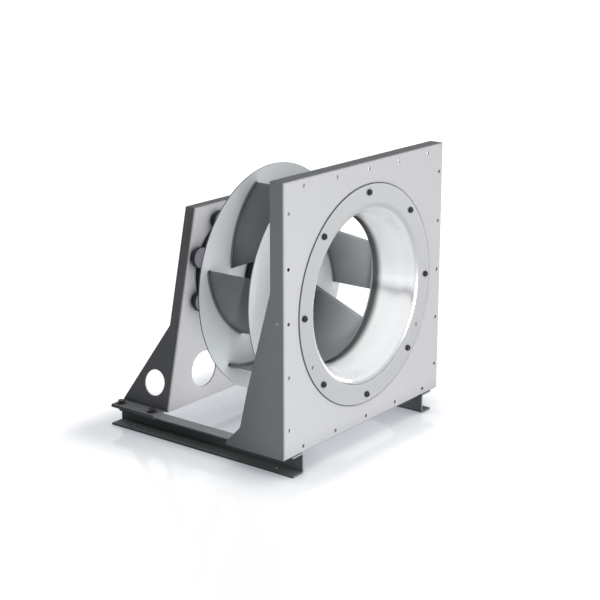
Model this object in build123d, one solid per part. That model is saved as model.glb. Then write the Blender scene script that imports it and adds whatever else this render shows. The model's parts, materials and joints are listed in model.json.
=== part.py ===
from build123d import *

import os
from math import acos, atan2, cos, degrees, radians, sin, sqrt

os.makedirs("parts", exist_ok=True)

# Plug fan: a motor-driven backward curved wheel on a base of two rails, behind a square
# mounting panel with a bell-mouth inlet. Millimetres. X runs along the panel, Y from the
# panel's face to the rear, Z up. The origin lies on the floor, under the middle of the fan.
# While it is built, Y is counted from the panel's face; the finished pieces are then moved
# together, so that the origin is under the middle.

# Mounting panel
panel_side = 630.0
panel_t = 2.5
panel_flange = 38.0
panel_bend_r = 4.0
corner_relief = 0.6
edge_hole_r = 4.25
edge_hole_margin = 16.0
edge_hole_pitch = 123.0
edge_holes_per_side = 5
side_hole_r = 3.0
side_hole_depth = 19.5
gusset_start_z = 384.0
gusset_knee_y = 107.0
gusset_knee_z = 139.0
gusset_ankle_y = 128.0
gusset_ankle_z = 51.0
gusset_foot_y = 171.0
gusset_toe_z = 7.5
gusset_bend_r = 45.0
gusset_ankle_r = 22.0
foot_tab_end_gap = 5.0

# Inlet nozzle
throat_r = 180.5
nozzle_t = 2.0
nozzle_ring_r = 262.0
bell_width = 38.0
bell_depth = 90.0
throat_length = 22.0
panel_hole_gap = 6.0
nozzle_bolt_circle_r = 244.0
nozzle_bolt_count = 8
tap_angle = 120.0
tap_bore_r = 1.2
tap_head_r = 4.0
tap_head_h = 1.5
tap_stem_r = 3.0
tap_stem_length = 16.0
tap_barb_rise = 0.6
tap_barb_h = 2.5
tap_barb_pitch = 4.0
tap_barb_inset = 2.0

# Rails
rail_h = 50.0
rail_w = 40.0
rail_t = 4.0
rail_length = 565.0
rail_bend_r = 6.0
rail_margin = 30.0
base_hole_r = 5.5
base_hole_inset = 60.0

# Rear motor support
support_y = 417.0
support_t = 3.0
support_side_gap = 4.0
support_top_share = 0.4
support_top_margin = 31.0
support_flange = 31.0
support_gusset_z = 205.0
support_toe_z = 6.0
support_bend_r = 5.0
gusset_hole_r = 31.5
gusset_hole_share = 0.37
gusset_hole_z = 62.0
face_hole_r = 45.5
face_hole_x = 106.0
face_hole_z = 78.0
support_foot_gap = 1.0

# Impeller
wheel_r = 279.0
hub_disc_y = 275.3
hub_disc_t = 3.0
shroud_t = 2.5
eye_gap = 4.5
eye_overlap = 6.0
shroud_bend_r = 15.0
shroud_rim_y = 131.0
shroud_knee_y = 124.0
blade_count = 6
blade_t = 3.0
blade_tip_margin = 27.0
blade_root_r = 171.0
blade_root_shroud_r = 192.0
camber_r = 227.0
camber_centre_r = 89.2
first_blade_angle = -75.8
weld_gap = 0.1
balance_weight_r = 9.0
balance_weight_t = 4.0
balance_weight_margin = 17.0

# Motor: external rotor outside, wound stator inside
rotor_r = 116.0
rotor_wall = 6.0
rotor_nose_y = 228.0
rotor_gap_y = 5.0
rotor_side_gap = 3.0
rotor_nose_round = 14.0
rotor_corner_round = 9.0
rotor_dimple_r = 60.0
rotor_dimple_depth = 5.0
rotor_flange_r = 134.0
rotor_flange_t = 6.0
impeller_screw_circle_r = 125.0
impeller_screw_count = 6
spigot_gap = 0.3
magnet_t = 5.0
magnet_count = 10
magnet_gap_angle = 3.0
air_gap = 1.5
stator_length = 70.0
stator_teeth = 12
tooth_w = 16.0
yoke_t = 16.0
pole_shoe_t = 5.0
slot_opening = 4.0
winding_t = 5.0
winding_gap = 0.6
winding_foot_gap = 3.0
winding_shoe_gap = 1.5
bearing_tube_wall = 6.0
rotor_boss_h = 24.0
rotor_boss_wall = 9.0
rotor_boss_foot_w = 10.0
rotor_boss_foot_h = 22.0
stator_room_y = 20.0
shaft_r = 12.5
shaft_collar = 3.5
shaft_chamfer = 1.0
shaft_inset = 1.0
shaft_tail = 2.0
circlip_t = 1.2
circlip_depth = 0.9
circlip_rise = 3.0
circlip_opening = 6.0
circlip_side_gap = 0.15
bearing_outer_r = 26.0
bearing_w = 15.0
bearing_ball_r = 4.0
bearing_ball_count = 7
bearing_groove_gap = 0.05
bearing_land_share = 0.55
bearing_shelf_h = 4.0
bearing_shelf_t = 5.0
front_bearing_lead = 24.0
rear_bearing_lead = 6.0
tube_rim = 2.0
tube_root = 1.0
press_gap = 0.02
spring_h = 2.4
spring_t = 0.9
spring_w = 3.6
spring_side_gap = 0.4
motor_flange_r = 130.0
motor_flange_t = 14.0
motor_boss_r = 26.0
motor_boss_circle_r = 142.0
motor_boss_h = 22.0
motor_boss_round = 3.5
motor_boss_count = 8
motor_neck_r = 17.0
motor_neck_h = 12.0
motor_bolt_reach = 16.0
spigot_r = 106.0
spigot_h = 8.0
housing_r = 105.0
housing_h = 44.0
housing_wall = 5.0
housing_round = 4.0
housing_boss_r = 7.5
housing_boss_circle_r = 87.0
housing_screw_grip = 14.0
housing_screw_reach = 4.0
head_room = 1.5
board_r = 76.0
board_t = 1.6
board_lift = 8.0
board_foot_r = 3.5
board_foot_margin = 8.0
capacitor_r = 11.0
capacitor_top = 20.0
capacitor_circle_r = 48.0
fin_count = 40
fin_slot_w = 5.0
fin_slot_depth = 6.0
fin_end_margin = 6.0
terminal_w = 76.0
terminal_h = 18.0
terminal_count = 6
terminal_pitch = 12.0
terminal_r = 3.0
terminal_depth = 4.0
terminal_rise = 3.0
terminal_back_gap = 3.0
cover_w = 124.0
cover_h = 92.0
cover_t = 15.0
cover_top_t = 3.0
cover_corner_r = 12.0
cover_round = 4.0
cover_rim = 14.0
cover_screw_inset = 8.0
cover_screw_sink = 5.0
cover_screw_reach = 8.0
gasket_t = 1.5
gland_x = 26.0
gland_r = 8.0
gland_bore_r = 4.0
gland_end_margin = 13.0
gland_pad_margin = 14.0
gland_pad_length = 24.0
gland_pad_drop = 2.0
gland_pad_h = 18.0

# Fasteners: shank radius, head across flats, head height
m5 = (2.5, 8.0, 3.5)
m6 = (3.0, 10.0, 4.0)
m8 = (4.0, 13.0, 5.3)
m10 = (5.0, 16.0, 6.4)
hole_clearance = 0.5
washer_t = 2.0
washer_rim = 3.0
thread_gap = 0.05
thread_spare = 2.0
head_chamfer_share = 0.06
bolt_turn = 17.0
socket_flats = 5.0
socket_depth = 2.5
round_head_margin = 0.5
round_head_share = 0.6

# Sizes that follow from those above
axis_z = rail_h + panel_side / 2
panel_half = panel_side / 2
nozzle_front_y = -nozzle_t
nozzle_bolt_head_h = m8[2]
fan_front_y = nozzle_front_y - nozzle_bolt_head_h
fan_middle_y = (fan_front_y + rail_length) / 2
bell_end_y = nozzle_front_y + bell_depth
lip_y = bell_end_y + throat_length
eye_r = throat_r + nozzle_t + eye_gap
eye_front_y = lip_y - eye_overlap
panel_hole_r = throat_r + bell_width + panel_hole_gap
rail_outer_x = panel_half - rail_margin
rail_centre_x = rail_outer_x - rail_w / 2
support_half_bottom = rail_outer_x - rail_w - support_side_gap
support_half_top = support_top_share * panel_half
support_h = panel_half + motor_boss_circle_r + support_top_margin
support_depth = rail_length - support_y
blade_tip_r = wheel_r - blade_tip_margin
balance_weight_circle_r = wheel_r - balance_weight_margin
rotor_flange_y = hub_disc_y + hub_disc_t
motor_flange_y = support_y - motor_flange_t
rotor_end_y = motor_flange_y - rotor_gap_y
magnet_outer_r = rotor_r - rotor_wall
magnet_inner_r = magnet_outer_r - magnet_t
stator_r = magnet_inner_r - air_gap
bearing_tube_r = bearing_outer_r + bearing_tube_wall
housing_y = support_y + spigot_h
housing_end_y = housing_y + housing_h
support_hole_r = spigot_r + spigot_gap
stator_y = motor_flange_y - stator_room_y - stator_length


# Helpers


def spin(profile):
    """Turn a profile, drawn as radius along X and depth along Y, round the fan's axis."""
    return Pos(0, 0, axis_z) * revolve(profile, axis=Axis.Y)


def ring(r_in, r_out, y_low, y_high):
    """A plain ring round the fan's axis."""
    profile = Pos((r_in + r_out) / 2, (y_low + y_high) / 2) * Rectangle(r_out - r_in, y_high - y_low)
    return spin(profile)


def rod(r, y_low, y_high, x=0.0, z=0.0):
    """A round bar along Y, its axis at x and z."""
    return Pos(x, (y_low + y_high) / 2, z) * Rot(90, 0, 0) * Cylinder(r, y_high - y_low)


def post(r, z_low, z_high, x=0.0, y=0.0):
    """A round bar along Z."""
    return Pos(x, y, (z_low + z_high) / 2) * Cylinder(r, z_high - z_low)


def around(count, radius, start=0.0):
    """Places on a circle round the fan's axis: x, z and angle, clockwise from the top."""
    step = 360.0 / count
    for i in range(count):
        a = start + i * step
        yield radius * sin(radians(a)), axis_z + radius * cos(radians(a)), a


def side_outline(points, x_low, x_high):
    """A flat outline drawn in the Y-Z plane, given thickness along X."""
    face = Plane.YZ * make_face(Polyline(*points, close=True))
    return Pos(x_low, 0, 0) * extrude(face, amount=x_high - x_low)


def hex_bolt(size, grip, washer=0.0):
    """A bolt along +Z: its head is below Z = 0, its shank runs up through the grip."""
    shank_r, flats, head_h = size
    head = extrude(RegularPolygon(flats / 2, 6, major_radius=False), amount=-head_h)
    head = chamfer(head.faces().sort_by(Axis.Z)[0].edges(), flats * head_chamfer_share)
    return Pos(0, 0, -washer) * head + Pos(0, 0, -washer) * extrude(Circle(shank_r), amount=grip + washer)


def hex_nut(size, height_share=0.8):
    """A nut that sits on Z = 0 and reaches upwards, with room for its bolt."""
    shank_r, flats, _ = size
    body = extrude(RegularPolygon(flats / 2, 6, major_radius=False), amount=2 * shank_r * height_share)
    body = chamfer(body.faces().sort_by(Axis.Z)[-1].edges(), flats * head_chamfer_share)
    return body - Cylinder(shank_r + thread_gap, 8 * shank_r)


def washer(size):
    """A flat washer that lies below Z = 0."""
    shank_r, flats, _ = size
    rim = extrude(Circle(flats / 2 + washer_rim), amount=-washer_t)
    return rim - Cylinder(shank_r + hole_clearance / 2, 4 * washer_t)


def group(pieces):
    """Separate solids that share one node."""
    return Compound(children=list(pieces))


# Mounting panel and its fasteners


def panel_holes():
    """Centres of the holes along the panel's edge."""
    reach = panel_half - edge_hole_margin
    middle = (edge_holes_per_side - 1) / 2
    for i in range(edge_holes_per_side):
        along = (i - middle) * edge_hole_pitch
        for side in (-1, 1):
            yield along, axis_z + side * reach
            yield side * reach, axis_z + along


def front_foot_places():
    """Bolts that hold the panel's lower flange on the rails."""
    for side in (-1, 1):
        yield side * rail_centre_x, panel_flange / 2 + panel_t
        yield side * rail_centre_x, gusset_ankle_y


def make_front_plate():
    outer = Pos(0, gusset_foot_y / 2) * Rectangle(panel_side, gusset_foot_y)
    outer = fillet(outer.vertices().group_by(Axis.Y)[0], panel_bend_r)
    inner = Pos(0, panel_t + gusset_foot_y / 2) * Rectangle(panel_side - 2 * panel_t, gusset_foot_y)
    inner = fillet(inner.vertices().group_by(Axis.Y)[0], panel_bend_r - panel_t)
    channel = Pos(0, 0, rail_h) * extrude(outer - inner, amount=panel_side)
    gusset = make_face(Polyline(
        (0, 0), (0, panel_side), (panel_flange, panel_side), (panel_flange, gusset_start_z),
        (gusset_knee_y, gusset_knee_z), (gusset_ankle_y, gusset_ankle_z),
        (gusset_foot_y, gusset_toe_z), (gusset_foot_y, 0), close=True))
    soft = [v for v in gusset.vertices() if panel_flange <= v.X < gusset_foot_y and 0 < v.Y < panel_side]
    knee = [v for v in soft if v.Y > gusset_ankle_z + 1]
    gusset = fillet(knee, gusset_bend_r)
    ankle = [v for v in gusset.vertices() if abs(v.X - gusset_ankle_y) < 1 and abs(v.Y - gusset_ankle_z) < 1]
    gusset = fillet(ankle, gusset_ankle_r)
    side_view = Pos(-panel_half, 0, rail_h) * extrude(Plane.YZ * gusset, amount=panel_side)
    plate = channel & side_view

    flange_width = panel_side - 2 * (panel_t + corner_relief)
    tall = Pos(panel_flange / 2, panel_side / 2) * Rectangle(panel_flange, panel_side)
    tall = fillet(tall.vertices().group_by(Axis.X)[0], panel_bend_r)
    room = Pos(panel_t + panel_flange / 2, panel_side / 2) * Rectangle(panel_flange, panel_side - 2 * panel_t)
    room = fillet(room.vertices().group_by(Axis.X)[0], panel_bend_r - panel_t)
    flanges = extrude(Plane.YZ * (tall - room), amount=flange_width)
    flanges = Pos(-flange_width / 2, 0, rail_h) * flanges
    plate = plate & (Pos(0, gusset_foot_y / 2, rail_h + panel_half) * rounded_front())
    plate = plate + flanges

    tab_w = panel_half - rail_outer_x + rail_w - rail_t
    tab_y0 = panel_flange + corner_relief
    tab_y1 = gusset_foot_y - foot_tab_end_gap
    for side in (-1, 1):
        tab = Box(tab_w, tab_y1 - tab_y0, panel_t)
        plate += Pos(side * (panel_half - tab_w / 2), (tab_y0 + tab_y1) / 2, rail_h + panel_t / 2) * tab

    plate -= rod(panel_hole_r, -panel_t, 2 * panel_t, 0, axis_z)
    for x, z in panel_holes():
        plate -= rod(edge_hole_r, -panel_t, 2 * panel_t, x, z)
    for x, z, _ in around(nozzle_bolt_count, nozzle_bolt_circle_r):
        plate -= rod(m8[0] + hole_clearance, -panel_t, 2 * panel_t, x, z)
    for side in (-1, 1):
        x, z = tap_place(side)
        plate -= rod(tap_stem_r + hole_clearance, -panel_t, 2 * panel_t, x, z)
    across = Rot(0, 90, 0) * Cylinder(side_hole_r, panel_side + 2 * panel_t)
    plate -= Pos(0, side_hole_depth, axis_z) * across
    for x, y in front_foot_places():
        plate -= post(m10[0] + hole_clearance, rail_h - panel_t, rail_h + 2 * panel_t, x, y)
    return plate


def rounded_front():
    """The panel's outer block, with the upper and lower front edges bent round."""
    block = Box(panel_side, gusset_foot_y, panel_side)
    long_edges = block.edges().filter_by(Axis.X).group_by(Axis.Y)[0]
    return fillet(long_edges, panel_bend_r)


def make_front_foot_bolts():
    grip = panel_t + rail_t + 2 * m10[0] + washer_t
    bolt = Rot(180, 0, bolt_turn) * hex_bolt(m10, grip, washer_t)
    return group(Pos(x, y, rail_h + panel_t) * bolt for x, y in front_foot_places())


def make_front_foot_washers():
    flat = Rot(180, 0, 0) * washer(m10)
    return group(Pos(x, y, rail_h + panel_t) * flat for x, y in front_foot_places())


def make_front_foot_nuts():
    nut = Rot(180, 0, 0) * hex_nut(m10)
    return group(Pos(x, y, rail_h - rail_t) * nut for x, y in front_foot_places())


# Inlet nozzle and what is on its ring


def make_inlet_nozzle():
    mouth_r = throat_r + bell_width
    centre = (mouth_r, bell_end_y)
    flow = EllipticalCenterArc(centre, bell_width, bell_depth, 180, arc_size=90)
    back = EllipticalCenterArc(centre, bell_width - nozzle_t, bell_depth - nozzle_t, 180, arc_size=90)
    lip = Polyline(flow @ 0, (throat_r, lip_y), (throat_r + nozzle_t, lip_y), back @ 0)
    flat = Polyline(flow @ 1, (nozzle_ring_r, nozzle_front_y), (nozzle_ring_r, 0), back @ 1)
    nozzle = spin(make_face([*flow.edges(), *back.edges(), *lip.edges(), *flat.edges()]))
    for x, z, _ in around(nozzle_bolt_count, nozzle_bolt_circle_r):
        nozzle -= rod(m8[0] + hole_clearance, 2 * nozzle_front_y, nozzle_t, x, z)
    for side in (-1, 1):
        x, z = tap_place(side)
        nozzle -= rod(tap_stem_r + hole_clearance / 2, 2 * nozzle_front_y, nozzle_t, x, z)
    return nozzle


def tap_place(side):
    a = radians(side * tap_angle)
    return nozzle_bolt_circle_r * sin(a), axis_z + nozzle_bolt_circle_r * cos(a)


def make_nozzle_bolts():
    """Round-headed screws, heads in front of the ring, with a hexagon socket."""
    grip = nozzle_t + panel_t + 2 * m8[0]
    head_r = m8[1] / 2 + round_head_margin
    profile = make_face(Polyline(
        (0, 0), (head_r, 0), (head_r, -nozzle_bolt_head_h), (0, -nozzle_bolt_head_h), close=True))
    crown = [v for v in profile.vertices() if v.X > 1 and v.Y < -1]
    profile = fillet(crown, nozzle_bolt_head_h * round_head_share)
    head = revolve(profile, axis=Axis.Y)
    socket = Plane.XZ * RegularPolygon(socket_flats / 2, 6, major_radius=False)
    head -= Pos(0, -nozzle_bolt_head_h, 0) * extrude(socket, amount=socket_depth, both=True)
    screw = head + rod(m8[0], 0, grip)
    return group(Pos(x, nozzle_front_y, z) * screw
                 for x, z, _ in around(nozzle_bolt_count, nozzle_bolt_circle_r))


def make_nozzle_nuts():
    nut = Rot(-90, 0, 0) * hex_nut(m8)
    return group(Pos(x, panel_t, z) * nut for x, z, _ in around(nozzle_bolt_count, nozzle_bolt_circle_r))


def make_pressure_taps():
    """Bored nipples through the ring, for a hose behind the panel."""
    nipple = rod(tap_head_r, -tap_head_h, 0) + rod(tap_stem_r, 0, tap_stem_length)
    barb = Rot(90, 0, 0) * Cone(tap_stem_r + tap_barb_rise, tap_stem_r, tap_barb_h)
    for i in range(2):
        nipple += Pos(0, tap_stem_length - tap_barb_inset - i * tap_barb_pitch, 0) * barb
    nipple -= rod(tap_bore_r, -2 * tap_head_h, tap_stem_length + 2.0)
    places = [tap_place(side) for side in (-1, 1)]
    return group(Pos(x, nozzle_front_y, z) * nipple for x, z in places)


# Rails


def make_rail(side):
    """A channel with its web inboard and its flanges pointing outwards."""
    outer = Rectangle(rail_w, rail_h)
    outer = fillet(outer.vertices().group_by(Axis.X)[0], rail_bend_r)
    inner = Pos(rail_t, 0) * Rectangle(rail_w, rail_h - 2 * rail_t)
    inner = fillet(inner.vertices().group_by(Axis.X)[0], rail_bend_r - rail_t)
    section = Plane.XZ * (outer - inner)
    rail = Pos(0, rail_length, rail_h / 2) * extrude(section, amount=rail_length)
    rail = Pos(rail_centre_x, 0, 0) * rail
    if side < 0:
        rail = mirror(rail, about=Plane.YZ)
    x = side * rail_centre_x
    for y in (base_hole_inset, rail_length - base_hole_inset):
        rail -= post(base_hole_r, -rail_t, 2 * rail_t, x, y)
    tops = [y for bx, y in front_foot_places() if bx * side > 0]
    tops += [y for bx, y in rear_foot_places() if bx * side > 0]
    for y in tops:
        rail -= post(m10[0] + hole_clearance, rail_h - 2 * rail_t, rail_h + rail_t, x, y)
    return rail


# Rear motor support


def half_width(z):
    """Half the support's width at a height above the rails."""
    return support_half_bottom - (support_half_bottom - support_half_top) * z / support_h


def rear_foot_places():
    for side in (-1, 1):
        yield side * rail_centre_x, support_y + support_flange
        yield side * rail_centre_x, rail_length - support_flange / 2


def support_room(y_start, z_start):
    """The space between the support's walls, from a depth and a height onwards."""
    lean = atan2(support_half_bottom - support_half_top, support_h)
    wall = support_t / cos(lean)
    room = Plane.XZ * make_face(Polyline(
        (-half_width(z_start) + wall, z_start), (half_width(z_start) - wall, z_start),
        (support_half_top - wall, support_h - support_t),
        (-support_half_top + wall, support_h - support_t), close=True))
    return Pos(0, support_y + y_start, rail_h) * extrude(room, amount=-support_depth)


def make_rear_support():
    face = Plane.XZ * make_face(Polyline(
        (-support_half_bottom, 0), (support_half_bottom, 0),
        (support_half_top, support_h), (-support_half_top, support_h), close=True))
    block = Pos(0, support_y, rail_h) * extrude(face, amount=-support_depth)
    front_edges = [e for e in block.edges() if abs(e.center().Y - support_y) < 0.01]
    slanted = [e for e in front_edges if abs(e.center().X) > 1]
    top = [e for e in front_edges if e.center().Z > rail_h + support_h - 1]
    block = fillet(slanted + top, support_bend_r)

    shell = block - support_room(support_t, support_t) - support_room(support_flange, -support_t)

    outline = [
        (support_y, 0), (support_y, support_h), (support_y + support_flange, support_h),
        (support_y + support_flange, support_gusset_z), (rail_length, support_toe_z), (rail_length, 0)]
    shell &= Pos(0, 0, rail_h) * side_outline(outline, -support_half_bottom, support_half_bottom)

    foot_w = rail_outer_x - support_half_bottom - support_foot_gap
    foot_l = support_depth - support_t - support_bend_r
    for side in (-1, 1):
        foot = Box(foot_w + support_t, foot_l, support_t)
        x = side * (support_half_bottom - support_t + (foot_w + support_t) / 2)
        shell += Pos(x, rail_length - foot_l / 2, rail_h + support_t / 2) * foot

    shell -= rod(support_hole_r, support_y - support_t, support_y + 2 * support_t, 0, axis_z)
    for x, z, _ in motor_boss_places():
        shell -= rod(m8[0] + hole_clearance, support_y - support_t, support_y + 2 * support_t, x, z)
    for side in (-1, 1):
        x = side * face_hole_x
        shell -= rod(face_hole_r, support_y - support_t, support_y + 2 * support_t, x, rail_h + face_hole_z)
    across = Rot(0, 90, 0) * Cylinder(gusset_hole_r, 2 * support_half_bottom + 10)
    shell -= Pos(0, support_y + gusset_hole_share * support_depth, rail_h + gusset_hole_z) * across
    for x, y in rear_foot_places():
        shell -= post(m10[0] + hole_clearance, rail_h - support_t, rail_h + 2 * support_t, x, y)
    return shell


def make_rear_foot_bolts():
    grip = support_t + rail_t + 2 * m10[0] + washer_t
    bolt = Rot(180, 0, 0) * hex_bolt(m10, grip, washer_t)
    return group(Pos(x, y, rail_h + support_t) * bolt for x, y in rear_foot_places())


def make_rear_foot_washers():
    flat = Rot(180, 0, 0) * washer(m10)
    return group(Pos(x, y, rail_h + support_t) * flat for x, y in rear_foot_places())


def make_rear_foot_nuts():
    nut = Rot(180, 0, 0) * hex_nut(m10)
    return group(Pos(x, y, rail_h - rail_t) * nut for x, y in rear_foot_places())


# Impeller


def shroud_slope():
    """Rise of the shroud per millimetre of radius, outside its bend."""
    return (shroud_rim_y - shroud_knee_y) / (wheel_r - eye_r)


def make_shroud():
    """Inlet ring that bends out into a shallow cone, one wall thick."""
    slope = shroud_slope()
    lift = shroud_t * sqrt(1 + slope**2)
    knee_back_y = shroud_knee_y + slope * shroud_t - lift
    profile = make_face(Polyline(
        (eye_r, eye_front_y), (eye_r, shroud_knee_y), (wheel_r, shroud_rim_y),
        (wheel_r, shroud_rim_y - lift), (eye_r + shroud_t, knee_back_y),
        (eye_r + shroud_t, eye_front_y), close=True))
    flow_knee = [v for v in profile.vertices() if abs(v.X - eye_r) < 0.01 and v.Y > eye_front_y + 1]
    profile = fillet(flow_knee, shroud_bend_r)
    back_knee = [v for v in profile.vertices() if abs(v.Y - knee_back_y) < 0.01 and v.X < wheel_r - 1]
    profile = fillet(back_knee, shroud_bend_r - shroud_t)
    return spin(profile)


def blade_passage():
    """The space between hub disc and shroud that the blades may fill."""
    root_slope = (blade_root_shroud_r - blade_root_r) / (hub_disc_y - shroud_knee_y)
    front_y = eye_front_y
    front_r = blade_root_r + root_slope * (hub_disc_y - front_y)
    back_y = hub_disc_y - weld_gap
    room = make_face(Polyline(
        (blade_root_r, back_y), (blade_tip_r, back_y),
        (blade_tip_r, front_y), (front_r, front_y), close=True))
    reach = wheel_r + 10
    rim_y = shroud_rim_y + shroud_slope() * 10
    cover = make_face(Polyline(
        (eye_r, 0), (eye_r, shroud_knee_y + weld_gap), (reach, rim_y + weld_gap), (reach, 0), close=True))
    knee = [v for v in cover.vertices() if abs(v.X - eye_r) < 0.01 and v.Y > 1]
    cover = fillet(knee, shroud_bend_r)
    return spin(room - cover)


def opposite_angle(a, b, c):
    """Angle of a triangle between its sides a and b, across from c."""
    return degrees(acos((a**2 + b**2 - c**2) / (2 * a * b)))


def make_blade(passage, number):
    """A plate bent to one arc, cut off by hub, shroud, tip circle and its slanted inlet edge."""
    swing = opposite_angle(blade_tip_r, camber_centre_r, camber_r)
    centre_a = radians(first_blade_angle + swing + number * 360.0 / blade_count)
    centre = (camber_centre_r * sin(centre_a), camber_centre_r * cos(centre_a))
    bend = Circle(camber_r + blade_t / 2) - Circle(camber_r - blade_t / 2)
    tip_a = radians(first_blade_angle + number * 360.0 / blade_count)
    tip = (blade_tip_r * sin(tip_a), blade_tip_r * cos(tip_a))
    toward = degrees(atan2(tip[1] - centre[1], tip[0] - centre[0]))
    sweep = blade_sweep()
    # A pie slice of the bent ring, from just past the tip to just inside the root
    lead = 3.0
    reach = 2 * camber_r
    points = [(0, 0)]
    steps = 4
    for i in range(steps + 1):
        a = radians(toward - lead + i * (sweep + 2 * lead) / steps)
        points.append((reach * cos(a), reach * sin(a)))
    wedge = make_face(Polyline(*points, close=True))
    section = Pos(*centre) * (bend & wedge)
    plate = extrude(Plane.XZ * section, amount=-(hub_disc_y - eye_front_y))
    plate = Pos(0, eye_front_y, axis_z) * plate
    return plate & passage


def blade_sweep():
    """Angle that the blade's arc covers, seen from the arc's own centre."""
    tip = opposite_angle(camber_r, camber_centre_r, blade_tip_r)
    root = opposite_angle(camber_r, camber_centre_r, blade_root_r)
    return tip - root


def make_hub_disc():
    disc = ring(rotor_r + spigot_gap, wheel_r, hub_disc_y, hub_disc_y + hub_disc_t)
    for x, z, _ in around(impeller_screw_count, impeller_screw_circle_r, 30):
        disc -= rod(m6[0] + hole_clearance, hub_disc_y - 1, hub_disc_y + 2 * hub_disc_t, x, z)
    return disc


def make_impeller_screws():
    """Screws with hexagon heads on the blade side, threaded into the rotor's flange."""
    screw = Rot(-90, 0, 0) * hex_bolt(m6, hub_disc_t + rotor_flange_t + 2.0)
    return group(Pos(x, hub_disc_y, z) * screw
                 for x, z, _ in around(impeller_screw_count, impeller_screw_circle_r, 30))


def make_balance_weights():
    """Two round weights riveted to the back of the hub disc."""
    back = hub_disc_y + hub_disc_t
    places = list(around(24, balance_weight_circle_r, 7.5))
    chosen = [places[3], places[5]]
    return group(rod(balance_weight_r, back, back + balance_weight_t, x, z) for x, z, _ in chosen)


# Motor


def rotor_boss_end():
    return rotor_nose_y + rotor_wall + rotor_boss_h


def make_rotor_can():
    """Deep cup, closed towards the inlet, with a flange for the hub disc and a boss for the shaft."""
    inner_r = rotor_r - rotor_wall
    flange_back = rotor_flange_y + rotor_flange_t
    boss_r = shaft_r + rotor_boss_wall
    floor_y = rotor_nose_y + rotor_wall
    outer = make_face(Polyline(
        (0, rotor_nose_y), (rotor_r, rotor_nose_y), (rotor_r, rotor_flange_y),
        (rotor_flange_r, rotor_flange_y), (rotor_flange_r, flange_back), (rotor_r, flange_back),
        (rotor_r, rotor_end_y), (0, rotor_end_y), close=True))
    nose = [v for v in outer.vertices() if abs(v.X - rotor_r) < 0.01 and v.Y < rotor_nose_y + 1]
    outer = fillet(nose, rotor_nose_round)
    inner = make_face(Polyline(
        (boss_r, rotor_end_y), (boss_r, floor_y + rotor_boss_foot_h), (boss_r + rotor_boss_foot_w, floor_y),
        (inner_r, floor_y), (inner_r, rotor_end_y), close=True))
    corner = [v for v in inner.vertices() if v.X > inner_r - 0.01 and v.Y < floor_y + 1]
    inner = fillet(corner, rotor_corner_round)
    boss_cut = Pos(boss_r / 2, (rotor_boss_end() + rotor_end_y) / 2) * Rectangle(
        boss_r, rotor_end_y - rotor_boss_end())
    bore = Pos(shaft_r / 2, rotor_nose_y) * Rectangle(shaft_r + 2 * press_gap, 2 * rotor_r)
    dimple = Pos((boss_r + rotor_dimple_r) / 2, rotor_nose_y) * Rectangle(
        rotor_dimple_r - boss_r, rotor_dimple_depth)
    can = spin(outer - inner - boss_cut - bore - dimple)
    for x, z, _ in around(impeller_screw_count, impeller_screw_circle_r, 30):
        can -= rod(m6[0] + thread_gap, rotor_flange_y - 1, flange_back + 1, x, z)
    return can


def make_rotor_magnets():
    pieces = []
    shell = ring(magnet_inner_r, magnet_outer_r - press_gap, stator_y, stator_y + stator_length)
    share = 360.0 / magnet_count
    reach = 2 * magnet_outer_r
    for i in range(magnet_count):
        a0 = radians(i * share + magnet_gap_angle / 2)
        a1 = radians((i + 1) * share - magnet_gap_angle / 2)
        wedge = make_face(Polyline(
            (0, 0), (reach * sin(a0), reach * cos(a0)), (reach * sin(a1), reach * cos(a1)), close=True))
        slab = Pos(0, stator_y, axis_z) * extrude(Plane.XZ * wedge, amount=-stator_length)
        pieces.append(shell & slab)
    return group(pieces)


def make_shaft():
    """Stepped shaft, from the rotor's boss through both bearings to the circlip groove."""
    y0 = rotor_nose_y + shaft_inset
    y1 = support_y + shaft_tail
    groove_y = rear_bearing_y() + bearing_w
    profile = make_face(Polyline((0, y0), (shaft_r, y0), (shaft_r, y1), (0, y1), close=True))
    ends = [v for v in profile.vertices() if v.X > 1]
    profile = chamfer(ends, shaft_chamfer)
    collar_y0 = rotor_boss_end() + press_gap
    collar_y1 = front_bearing_y() - press_gap
    profile += Pos(shaft_r, (collar_y0 + collar_y1) / 2) * Rectangle(2 * shaft_collar, collar_y1 - collar_y0)
    groove_w = circlip_t + 2 * circlip_side_gap
    profile -= Pos(shaft_r, groove_y + groove_w / 2) * Rectangle(2 * (circlip_depth + thread_gap), groove_w)
    return spin(profile)


def make_shaft_circlip():
    y = rear_bearing_y() + bearing_w + circlip_side_gap
    clip = ring(shaft_r - circlip_depth, shaft_r + circlip_rise, y, y + circlip_t)
    return clip - Pos(0, y, axis_z + shaft_r) * Box(circlip_opening, 4 * circlip_t, 3 * circlip_rise)


def front_bearing_y():
    return stator_y - front_bearing_lead


def rear_bearing_y():
    return motor_flange_y - rear_bearing_lead


def make_bearing_spring():
    """A disc spring that pushes the rear bearing's outer ring away from a shelf in the tube."""
    y1 = rear_bearing_y() - press_gap
    y0 = y1 - spring_h
    edge_r = bearing_outer_r - spring_side_gap
    coil = make_face(Polyline(
        (edge_r - spring_w, y0), (edge_r - spring_w, y0 + spring_t),
        (edge_r, y1), (edge_r, y1 - spring_t), close=True))
    return spin(coil)


def bearing_sizes():
    pitch_r = (shaft_r + bearing_outer_r) / 2
    land = bearing_land_share * bearing_ball_r
    return pitch_r, pitch_r - land, pitch_r + land


def make_bearing_outer(y):
    pitch_r, _, outer_land = bearing_sizes()
    mid = y + bearing_w / 2
    profile = Pos((outer_land + bearing_outer_r - press_gap) / 2, mid) * Rectangle(
        bearing_outer_r - press_gap - outer_land, bearing_w)
    profile -= Pos(pitch_r, mid) * Circle(bearing_ball_r + bearing_groove_gap)
    return spin(profile)


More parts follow.
